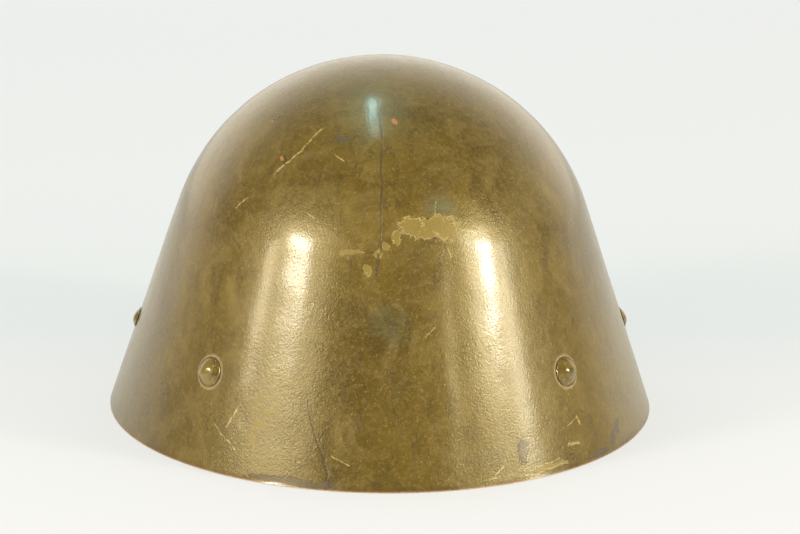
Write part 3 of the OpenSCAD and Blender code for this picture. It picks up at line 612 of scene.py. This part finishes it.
def giveThickness(piece, thick, edge):
    # joins the strip's blocks, gives it thickness and rounds its cut edges, then keeps that as the mesh
    weld = piece.modifiers.new("weld", "WELD")
    weld.merge_threshold = 0.00001
    solid = piece.modifiers.new("thickness", "SOLIDIFY")
    solid.thickness, solid.offset, solid.use_even_offset = thick, 0.0, True
    bevel = piece.modifiers.new("edges", "BEVEL")
    bevel.width, bevel.segments, bevel.limit_method, bevel.angle_limit = edge, 2, "ANGLE", math.radians(50)
    bpy.context.view_layer.update()
    made = bpy.data.meshes.new_from_object(piece.evaluated_get(bpy.context.evaluated_depsgraph_get()))
    piece.modifiers.clear()
    piece.data = made
    piece.data.polygons.foreach_set("use_smooth", np.ones(len(made.polygons), bool))

hoop = {"height": shellShape["rivetHeight"], "gap": 0.011, "high": 0.020}

def hoopOval(s, h):
    # half width, half length and middle of the hoop's outer face, from the shell at the rivets' height
    flare = flareAngle(s)
    across = s["halfWidth"] - s["sheet"] / math.cos(flare) - h["height"] * math.tan(flare) - h["gap"]
    return across, shellStretch(s, True) * (across + h["gap"]) - h["gap"], -shellLean(s) * h["height"]

hoopAcross, hoopAlong, hoopMiddle = hoopOval(shellShape, hoop)
hoopLow, hoopTop = hoop["height"] - hoop["high"] / 2, hoop["height"] + hoop["high"] / 2
liner = {
    "bandAcross": hoopAcross, "bandAlong": hoopAlong, "bandMiddle": hoopMiddle,
    "bandLow": hoopLow, "bandTop": hoopTop,
    "feltOut": 0.0015, "feltIn": 0.0075,
    "sweatOut": 0.00765, "sweatIn": 0.00965, "sweatLow": hoopLow - 0.00235, "sweatTop": hoopTop + 0.006,
    "uvRadius": 0.104,   # turns radians into lengths for the pattern
}

def ovalRing(l, profile, count, ripple):
    # a closed profile of (inset, height) carried round the liner's oval; ripple makes it uneven
    turn = around(count)
    inset, height = np.array(profile).T[..., None]
    back = l["bandMiddle"] - (l["bandAlong"] - inset) * np.cos(turn)
    rows = ripple(np.stack([(l["bandAcross"] - inset) * np.sin(turn), back, height + 0 * turn], -1), turn)
    faces = gridFaces(len(profile), count)
    last = (len(profile) - 1) * count
    faces += [[last + i, last + (i + 1) % count, (i + 1) % count, i] for i in range(count)]
    uv = np.stack([np.broadcast_to(turn * l["uvRadius"], rows.shape[:2]),
                   np.broadcast_to(lengthAlong(profile)[:, None], rows.shape[:2])], -1)
    return rows.reshape(-1, 3), faces, uv.reshape(-1, 2)

def roundedBox(inner, outer, low, high, radius, rise=5):
    # a rounded rectangle of (inset, height), running up the outer face and down the inner one
    spots = []
    middles = ((outer + radius, high - radius, 0), (inner - radius, high - radius, 1),
               (inner - radius, low + radius, 2), (outer + radius, low + radius, 3))
    for x, z, quarter in middles:
        angle = np.linspace(0, np.pi / 2, 4) + quarter * np.pi / 2
        spots += [np.array([x - radius * math.cos(a), z + radius * math.sin(a)]) for a in angle]
    spots = spots[-1:] + spots[:-1]
    # a few more rows up the two faces
    full = []
    for first, second in zip(spots, spots[1:] + spots[:1]):
        count = rise if abs(second[1] - first[1]) > 4 * radius else 1
        full += [first + (second - first) * k / count for k in range(count)]
    return full

def makeFelt(l):
    def ripple(rows, turn):
        rows[..., 2] += 0.0001 * smoothRandom(rows, 0.012, 31)
        return rows
    profile = roundedBox(l["feltIn"], l["feltOut"], l["bandLow"] + 0.00015, l["bandTop"] - 0.001, 0.0012)
    points, faces, uv = ovalRing(l, profile, 240, ripple)
    piece = addMesh("feltPad", points, faces, slot="felt", uv=uv)
    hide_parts("felt_ring")
    return piece

def makeSweatband(l):
    # one strip of leather: a lip turned out under felt and hoop, a round fold, and the face that the head touches
    thick = l["sweatIn"] - l["sweatOut"]
    low, top, face, fold = l["sweatLow"], l["sweatTop"], l["sweatIn"], 0.0022
    angle = np.linspace(0, np.pi / 2, 7)
    inside = [(face - fold + fold * math.sin(a), low + fold - fold * math.cos(a)) for a in angle]
    inside = [(0.0003, low), (0.002, low), (0.0042, low)] + inside
    inside += [(face, low + fold + (top - 0.0008 - low - fold) * k / 12) for k in range(1, 13)]
    inside += [(face - 0.0003, top - 0.0003), (face - thick / 2, top), (face - thick + 0.0003, top - 0.0003)]
    outside = [(face - thick, top - 0.001 - (top - 0.001 - low - 0.0035) * k / 8) for k in range(9)]
    outside += [(face - thick - 0.0004, low + 0.0024), (face - thick - 0.0012, low + 0.002), (0.0042, low + 0.002),
                (0.002, low + 0.002), (0.0003, low + 0.0018), (0.0002, low + 0.001)]
    profile = (inside + outside)[::-1]
    def ripple(rows, turn):
        # the face waves in a little between the rivets and the top edge rises and falls
        height = np.clip((rows[..., 2] - low - 0.004) / (top - low - 0.004), 0, 1)
        wave = smoothRandom(rows, 0.022, 41) * 0.00035 - 0.0005 * np.sin(8 * turn) ** 2
        way = np.stack([np.sin(turn), -np.cos(turn), 0 * turn], -1)
        rows += way[None] * (wave * height * np.sin(np.pi * height) ** 0.5)[..., None]
        rows[..., 2] -= 0.0006 * height ** 3 * (1 + smoothRandom(rows, 0.05, 42)) / 2
        return rows
    points, faces, uv = ovalRing(l, profile, 288, ripple)
    piece = addMesh("sweatbandLeather", points, faces, slot="liner_leather", uv=uv)
    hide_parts("sweatband")
    return piece

tongueLeather, softGap, crownRoom = 0.0018, 0.00015, 0.0265   # thickness, gap to the sweatband, room at the top
chordTurn = 5.25   # half of a flat facet of the solid tongue, which lies nearest in its middle (degrees)
tongueOut = tongueLeather + softGap + hoopAlong * (1 - math.cos(math.radians(chordTurn))) - liner["sweatOut"]
tongues = {
    "across": hoopAcross + tongueOut, "along": hoopAlong + tongueOut, "leather": tongueLeather,
    "rise": shellShape["crownCentre"] + shellShape["crownRadius"] - crownRoom - liner["sweatTop"],
    "low": hoopTop - 0.00065, "base": liner["sweatTop"], "rows": 12,
    "firstClimb": math.degrees(flareAngle(shellShape)), "endClimb": 74.0, "lean": shellLean(shellShape),
    "baseTurn": 21.0, "tipTurn": 15.0, "roundFrom": 0.82, "tipShare": 0.35,
    "laceClimb": 67.0, "hole": 0.0028, "holeBlock": 0.0046, "length": 0.112, "halfWidth": 0.009,
    "pitch": 0.0022, "columns": 12,
}

def tonguePoint(t, l, inset, turn, climb):
    # on an ellipsoid over the band's oval, cut off where it has the wall's flare, leaned with the shell and
    # drawn in by inset
    first = math.radians(t["firstClimb"])
    part = np.cos(climb) / math.cos(first)
    up = (t["rise"] - inset) * (np.sin(climb) - math.sin(first)) / (1 - math.sin(first))
    return np.stack([(t["across"] - inset) * part * np.sin(turn),
                     l["bandMiddle"] - t["lean"] * up - (t["along"] - inset) * part * np.cos(turn),
                     t["base"] + up + 0 * turn], -1)

def tongueSheet(t, l, turn, seed):
    # the strip's length runs up the dome, its width narrows to a round tip; creases grow towards the lace
    first, last = t["firstClimb"], t["endClimb"]
    holeAt = (1 + (t["laceClimb"] - first) / (last - first) * (t["rows"] - 1)) / t["rows"] * t["length"]
    flat, faces = holedStrip(t["length"], t["halfWidth"], [(holeAt, t["hole"], t["hole"], t["holeBlock"])],
                             t["pitch"], t["columns"])
    part = flat[:, 0] / t["length"]
    side = t["baseTurn"] + (t["tipTurn"] - t["baseTurn"]) * part
    narrow = np.sqrt(np.clip(1 - (np.clip(part - t["roundFrom"], 0, 1) / (1 - t["roundFrom"])) ** 2, 0, 1))
    half = np.radians(side * (t["tipShare"] + (1 - t["tipShare"]) * narrow))
    row = part * t["rows"]
    climb = np.radians(first + np.clip(row - 1, 0, None) / (t["rows"] - 1) * (last - first))
    across = flat[:, 1] / t["halfWidth"]
    turns = turn + across * half
    spots = tonguePoint(t, l, t["leather"] / 2, turns, climb)
    spots[:, 2] = np.where(row < 1, t["low"] + (t["base"] - t["low"]) * row, spots[:, 2])
    way = unit(spots - np.array([0, l["bandMiddle"], t["base"]]))
    free = np.clip((part - 0.12) / 0.25, 0, 1)
    nearHole = np.exp(-(((flat[:, 0] - holeAt) / 0.007) ** 2 + (across * 1.2) ** 2))
    wave = 0.0009 * smoothRandom(spots, 0.035, seed)
    wave += 0.00035 * smoothRandom(spots * np.array([1, 1, 0.5]), 0.010, seed + 1)
    fold = 0.0006 * np.sin(across * 9 + seed) * np.clip((part - 0.55) / 0.3, 0, 1) * (1 - np.abs(across) ** 4)
    curl = -0.0012 * across ** 4
    spots += way * (free * (1 - nearHole) * (wave + fold + curl))[:, None]
    return spots, faces, np.stack([flat[:, 0], across * 0.02], -1)

def makeTongues(t, l, leather):
    for number in range(8):
        spots, faces, uv = tongueSheet(t, l, math.radians(45 * number), 50 + 3 * number)
        piece = addMesh(f"tongueLeather{number + 1}", spots, faces, slot="liner_leather", uv=uv)
        giveThickness(piece, t["leather"] - 0.0001, 0.0004)
        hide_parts(f"tongue_{number + 1}")
        dress(piece, leather)

lacePlan = {
    "start": 196.0, "lap": 12.0, "width": 0.0026, "swing": 0.0033, "aside": 2.4, "parting": 346.0,
    "steps": 900, "sides": 18, "strands": 3, "twist": 0.0046, "valley": 0.16,
    "knotAt": 0.006, "knotHalf": 0.0022, "knotSwell": 0.75,
}

def cordAlong(path, radius, c):
    # a ring carried along a path without turning; the cord's strands wind round it
    along = unit(np.gradient(path, axis=0))
    side = unit(np.cross(along, (0, 0, 1.0)))
    up = np.cross(side, along)
    length = lengthAlong(path)
    count, sides, valley = len(path), c["sides"], c["valley"]
    turn = around(sides)
    phase = c["strands"] * turn - 2 * np.pi * length[:, None] / c["twist"]
    size = (radius[:, None] * (1 - valley + valley * np.abs(np.cos(phase / 2)) ** 0.7))[..., None]
    points = path[:, None] + size * (np.cos(turn)[:, None] * side[:, None] + np.sin(turn)[:, None] * up[:, None])
    faces = [face[::-1] for face in gridFaces(count, sides)]
    faces += [list(range(sides)), [(count - 1) * sides + i for i in range(sides - 1, -1, -1)]]
    uv = np.stack([np.repeat(length, sides), np.tile(turn / (2 * np.pi), count)], -1)
    return points.reshape(-1, 3), faces, uv

def makeLace(c, t, l):
    # over one tongue, through its hole and under the next; the two ends lie side by side at the back
    past = np.linspace(0, 360 + c["lap"], c["steps"])
    turn = np.radians(c["start"] + past)
    wave = np.sin(turn * 4)
    wave = wave / np.sqrt(wave ** 2 + 0.05)
    aside = c["aside"] * np.clip((past - c["parting"]) / c["lap"], 0, 1)
    path = tonguePoint(t, l, t["leather"] / 2, turn, np.radians(t["laceClimb"] + aside))
    path[:, 2] += c["swing"] * wave
    length = lengthAlong(path)
    knots = sum(np.exp(-((length - spot) / c["knotHalf"]) ** 2) for spot in (c["knotAt"], length[-1] - c["knotAt"]))
    points, faces, uv = cordAlong(path, c["width"] / 2 * (1 + c["knotSwell"] * knots), c)
    piece = addMesh("laceCord", points, faces, slot="lace_cord", uv=uv)
    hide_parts("lace")
    return piece

straps = {
    "width": 0.016, "leather": 0.0018, "bowCentre": 0.0014, "bowRadius": 0.0025,
    "lap": 0.020, "closed": 0.009,
    "plainStart": (-0.087761, -0.001596, 0.0036), "plainTurn": 7.0, "plainDroop": 0.4385, "plainLength": 0.196,
    "buckleStart": (0.087761, -0.006360, 0.0036), "buckleTurn": 187.0, "buckleLength": 0.104,
    "holes": 6, "firstHole": 0.024, "holePitch": 0.012, "hole": 0.002, "holeBlock": 0.0055,
    "slotHalf": 0.0123, "slotWide": 0.0023, "slotBlock": 0.0135, "split": 0.098, "bendHalf": 0.012,
    "pitch": 0.0028, "columns": 8,
    "keeperAt": 0.072, "keeperLong": 0.008, "keeperLeather": 0.0014, "keeperWide": 0.0083, "keeperHigh": 0.0020,
    "keeperCorner": 0.0014,
}

def strapFrame(start, turn, droop=0.0):
    # origin on the ring's bar, X along the strap, Y across it, Z up
    a, d = math.radians(turn), math.radians(droop)
    along, across = np.array([math.cos(a), math.sin(a), 0]), np.array([-math.sin(a), math.cos(a), 0])
    up = np.array([0, 0, 1.0])
    return np.array(start), along * math.cos(d) - up * math.sin(d), across, along * math.sin(d) + up * math.cos(d)

def bowPath(c, mirrorAt=None):
    # side view of one end: along the upper layer, round the bar and back along the lower layer
    half, radius = c["leather"] / 2, c["bowRadius"]
    angle = np.linspace(np.pi / 2, 3 * np.pi / 2, 25)
    upper = np.array([(c["lap"], half), (c["closed"] + 0.001, half), (c["closed"] - 0.0015, half + 0.00005)])
    bow = np.stack([-c["bowCentre"] + radius * np.cos(angle), radius * np.sin(angle)], -1)
    path = np.vstack([upper, bow, upper[::-1] * (1, -1)])
    if mirrorAt is not None:
        path = np.stack([mirrorAt - path[::-1, 0], path[::-1, 1]], -1)
    return path

def evenPath(path, pitch=0.00025, soften=9):
    # the path in even steps, its corners softened by a short running mean
    length = lengthAlong(path)
    even = np.arange(0, length[-1], pitch)
    path = np.stack([np.interp(even, length, column) for column in path.T], -1)
    padded = np.pad(path, ((soften // 2, soften // 2), (0, 0)), "edge")
    path = np.stack([np.convolve(column, np.ones(soften) / soften, "valid") for column in padded.T], -1)
    return path, lengthAlong(path)

def strapAlong(name, c, place, sidePath, holes, tipRound, body=None):
    # a flat strip laid along a side view in the strap's own frame; each hole finds its place on the path
    path, length = evenPath(sidePath)
    holes = [hole(path, length) for hole in holes]
    flat, faces = holedStrip(length[-1], c["width"] / 2, holes, c["pitch"], c["columns"])
    s, across = flat.T
    if tipRound:
        left = np.clip(length[-1] - s, 0, tipRound)
        across = across * np.sqrt(np.clip(1 - ((tipRound - left) / tipRound) ** 2, 0.0004, 1))
    x, z = np.interp(s, length, path[:, 0]), np.interp(s, length, path[:, 1])
    origin, ahead, side, up = place
    spots = origin + x[:, None] * ahead + across[:, None] * side + z[:, None] * up
    piece = addMesh(name, spots, faces, body=body, slot="strap_leather", uv=np.stack([s, flat[:, 1]], -1))
    giveThickness(piece, c["leather"] - 0.00008, 0.00035)
    return piece

def roundHole(c, at):
    # a hole at a place along the lower layer
    def find(path, length):
        low = path[:, 1] < -c["leather"] * 0.4
        return np.interp(at, path[low, 0], length[low]), c["hole"], c["hole"], c["holeBlock"]
    return find

def makeStraps(c, leather):
    place = strapFrame(c["plainStart"], c["plainTurn"], c["plainDroop"])
    side = np.vstack([bowPath(c), [(c["plainLength"], -c["leather"] / 2)]])
    spots = [c["plainLength"] - c["firstHole"] - k * c["holePitch"] for k in range(c["holes"])]
    holes = [roundHole(c, at) for at in spots[::-1]]
    plain = strapAlong("plainStrapLeather", c, place, side, holes, c["width"] / 2)
    dress(plain, leather)
    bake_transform(plain)
    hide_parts("plain_strap", "plain_strap_tip")
    place = strapFrame(c["buckleStart"], c["buckleTurn"])
    side = np.vstack([bowPath(c), bowPath(c, c["buckleLength"])])
    # the prong's slot is centred on the fold round the buckle's bar
    slot = lambda path, length: (length[np.argmax(path[:, 0])], c["slotHalf"], c["slotWide"], c["slotBlock"])
    buckle = strapAlong("buckleStrapLeather", c, place, side, [slot], 0, "buckle_strap")
    dress(buckle, leather)
    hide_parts("buckle_strap")
    return place

def makeKeeper(c, place, leather):
    # a closed loop, a rounded rectangle across the strap
    half, high = c["keeperWide"] + c["keeperLeather"] / 2, c["keeperHigh"] + c["keeperLeather"] / 2
    r, loop = c["keeperCorner"], []
    for sy, sz, start in ((1, 1, 0), (-1, 1, 1), (-1, -1, 2), (1, -1, 3)):
        loop += [(sy * (half - r) + r * math.cos(a), sz * (high - r) + r * math.sin(a))
                 for a in np.linspace(0, np.pi / 2, 6) + start * math.pi / 2]
    loop = np.array(loop)
    along = np.linspace(-c["keeperLong"] / 2, c["keeperLong"] / 2, 5)
    origin, ahead, side, up = place
    spots = origin + (c["keeperAt"] + along[:, None, None]) * ahead + loop[:, :1] * side + loop[:, 1:] * up
    # across the keeper the pattern is stretched to the strap's width, which has its darker edges there
    uv = np.stack(np.broadcast_arrays(np.arange(len(loop)) * 0.0015, along[:, None] * 1.9), -1).reshape(-1, 2)
    piece = addMesh("strapKeeperLeather", spots.reshape(-1, 3), gridFaces(5, len(loop)), body="strap_keeper",
                    slot="strap_leather", uv=uv)
    giveThickness(piece, c["keeperLeather"] - 0.00006, 0.0003)
    dress(piece, leather)
    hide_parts("strap_keeper")

# leather, felt, cord and metal finishes

def makeLeather(name, dark, light, worn, edge, grain, half=None):
    # creased grain, handling patina and burnished edges; half is the strap's half width where its edges are darker
    material, shader, spot = startPaint(name, IOR=1.5, Sheen_Weight=0.05)
    tone = mixed(step(noise(spot, 40, 4, 0.6, 0.4), 0.35, 0.65), dark, light)
    tone = laid(tone, noise(spot, 190, 4, 0.65), 0.5, 0.72, 0.6, worn)
    crease = addNode(spot, "TexVoronoi", {"Vector": spot, "Scale": grain}, feature="DISTANCE_TO_EDGE")
    line = step(crease.outputs["Distance"], 0.0, 0.12)
    tone = mixed(step(line, 0, 1, 0.55, 0), tone, edge)
    pore = step(noise(spot, grain * 2.4, 2), 0.6, 0.7, 0, 0.5)
    tone = mixed(pore, tone, edge)
    height = sums("ADD", times(line, 0.6), noise(spot, grain * 0.5, 3))
    if half:
        across = sums("ABSOLUTE", apart(addNode(spot, "UVMap", uv_map="along").outputs[0])[1])
        rim = step(across, half - 0.0012, half - 0.0002)
        tone = mixed(rim, tone, edge)
        # one pressed line inside each edge
        groove = step(sums("ABSOLUTE", sums("SUBTRACT", across, half - 0.0020)), 0.0, 0.00035)
        tone = mixed(step(groove, 0, 1, 0.7, 0), tone, edge)
        height = sums("ADD", height, times(groove, 1.4))
    feed(shader, Base_Color=tone, Roughness=step(noise(spot, 60, 3), 0.3, 0.7, 0.38, 0.58))
    bump(shader, height, 0.00018, 0.6)
    return material

def makeMetal(name, clean, stained, rust, roughLow, roughHigh, rustShare, **values):
    # rolled or drawn metal: fine scratches, dull stains and some rust
    material, shader, spot = startPaint(name, Metallic=1.0, **values)
    cloud = noise(spot, 110, 4, 0.65, 0.5)
    scratch = noise(objectSpot(shader, (1, 1, 0.06)), 2600, 2, 0.5)
    tone = mixed(step(cloud, 0.35, 0.65), clean, stained)
    spots = step(noise(spot, 380, 5, 0.72, 0.6), rustShare, rustShare + 0.06)
    tone = mixed(spots, tone, rust)
    tone = laid(tone, scratch, 0.55, 0.75, 0.25, clean)
    rough = sums("MULTIPLY_ADD", spots, 0.35, step(cloud, 0.3, 0.7, roughLow, roughHigh))
    feed(shader, Base_Color=tone, Metallic=step(spots, 0, 1, 1, 0.1), Roughness=rough)
    bump(shader, sums("ADD", scratch, times(spots, 1.5)), 0.00006, 0.5)
    return material

def makeFibres(name, thread, dark, light, soil, soiled, depth, roughness, sheen):
    # felt or cord, soiled in places; thread and soil are the tone's limits, soil's share, and the noise's values
    material, shader, spot = startPaint(name, Roughness=roughness, Sheen_Weight=sheen, Sheen_Roughness=0.5)
    fibre = noise(spot, *thread[2:])
    tone = mixed(step(fibre, *thread[:2]), dark, light)
    feed(shader, Base_Color=laid(tone, noise(spot, *soil[3:]), *soil[:3], soiled))
    bump(shader, fibre, *depth)
    return material

pressedFelt = makeFibres("pressedFelt", (0.35, 0.7, 1400, 4, 0.75, 2.0), (0.13, 0.12, 0.095), (0.27, 0.25, 0.21),
                         (0.55, 0.75, 0.6, 90, 4, 0.7), (0.09, 0.07, 0.05), (0.0004, 0.8), 0.95, 0.35)
cottonLace = makeFibres("cottonLace", (0.35, 0.68, 2400, 3, 0.7, 1.2), (0.30, 0.25, 0.17), (0.52, 0.46, 0.34),
                        (0.48, 0.7, 0.55, 70, 3), (0.20, 0.16, 0.10), (0.0002, 0.7), 0.9, 0.25)
dress(makeFelt(liner), pressedFelt)
linerLeather = makeLeather("linerLeather", (0.17, 0.085, 0.034), (0.27, 0.145, 0.062), (0.36, 0.22, 0.11),
                           (0.075, 0.038, 0.018), 620)
dress(makeSweatband(liner), linerLeather)
makeTongues(tongues, liner, linerLeather)
dress(makeLace(lacePlan, tongues, liner), cottonLace)
print("liner made")

strapLeather = makeLeather("strapLeather", (0.052, 0.026, 0.013), (0.098, 0.050, 0.024), (0.16, 0.092, 0.048),
                           (0.022, 0.012, 0.007), 760, straps["width"] / 2)
bucklePlace = makeStraps(straps, strapLeather)
makeKeeper(straps, bucklePlace, strapLeather)
print("straps made")

zincStrip = makeMetal("zincStrip", (0.44, 0.45, 0.44), (0.30, 0.31, 0.31), (0.14, 0.065, 0.03), 0.38, 0.6, 0.60)
brightWire = makeMetal("brightWire", (0.56, 0.55, 0.52), (0.40, 0.38, 0.34), (0.15, 0.075, 0.035), 0.22, 0.42, 0.62)
oldBrass = makeMetal("oldBrass", (0.62, 0.46, 0.20), (0.36, 0.25, 0.11), (0.11, 0.10, 0.055), 0.26, 0.5, 0.60)
finishes = (
    (zincStrip, "band_brackets liner_band splice_plate left_lug right_lug"),
    (brightWire, "rivet_washers bracket_rivets splice_rivets lug_rivets left_ring right_ring "
                 "buckle_frame buckle_prong buckle_roller"),
    (oldBrass, "liner_rivets plain_strap_rivet buckle_strap_rivets"),
)
for finish, nodes in finishes:
    for node in nodes.split():
        dress(cad[node], finish)
print("metal parts finished")
